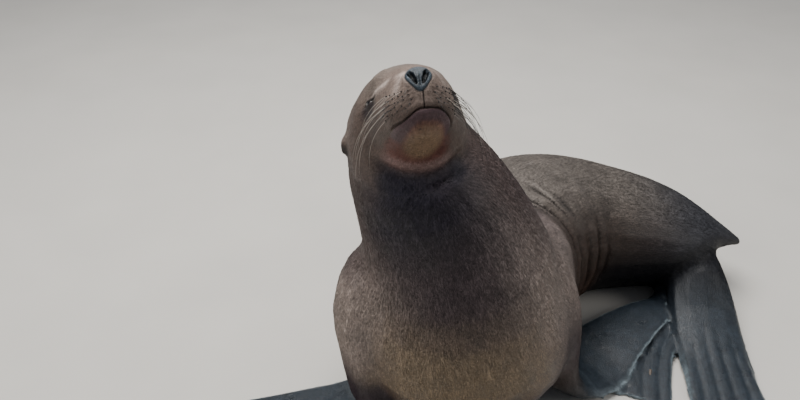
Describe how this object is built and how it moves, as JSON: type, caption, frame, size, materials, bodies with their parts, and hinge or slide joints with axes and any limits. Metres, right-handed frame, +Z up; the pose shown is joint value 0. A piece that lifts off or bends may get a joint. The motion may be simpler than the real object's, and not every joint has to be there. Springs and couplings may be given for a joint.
{
  "type": "sea lion",
  "caption": "Young California sea lion, life size, sitting upright with its nose raised, trunk bent to its left and flippers flat on the floor.",
  "frame": {"origin": "middle of the footprint, on the floor", "axes": "+X to the animal's left, where its hindquarters lie; +Y back from the chest, so the chest faces -Y; +Z up"},
  "size_m": [1.2628, 0.8024, 0.8213],
  "materials": {
    "face_fur": "short dense fur lying flat",
    "chest_fur": "short dense fur lying flat",
    "trunk_fur": "short dense fur lying flat, damp",
    "flipper_skin": "bare hide, damp",
    "nose_pad": "bare wet hide",
    "eyeball": "wet gloss",
    "claw_horn": "smooth horn"
  },
  "bodies": {
    "root": {"head": "face_fur", "neck": "chest_fur", "chest": "chest_fur", "loin": "trunk_fur", "hips": "trunk_fur", "tail": "trunk_fur", "nose": "nose_pad", "jaw": "face_fur", "eye_L": "eyeball", "eye_R": "eyeball", "ear_L": "face_fur", "ear_R": "face_fur", "fore_leg_L": "chest_fur", "fore_leg_R": "chest_fur", "fore_flipper_L": "flipper_skin", "fore_flipper_R": "flipper_skin", "hind_leg_L": "flipper_skin", "hind_leg_R": "flipper_skin", "hind_flipper_L": "flipper_skin", "hind_flipper_R": "flipper_skin", "claw_L_2": "claw_horn", "claw_L_3": "claw_horn", "claw_L_4": "claw_horn", "claw_R_2": "claw_horn", "claw_R_3": "claw_horn", "claw_R_4": "claw_horn"}
  },
  "joints": []
}
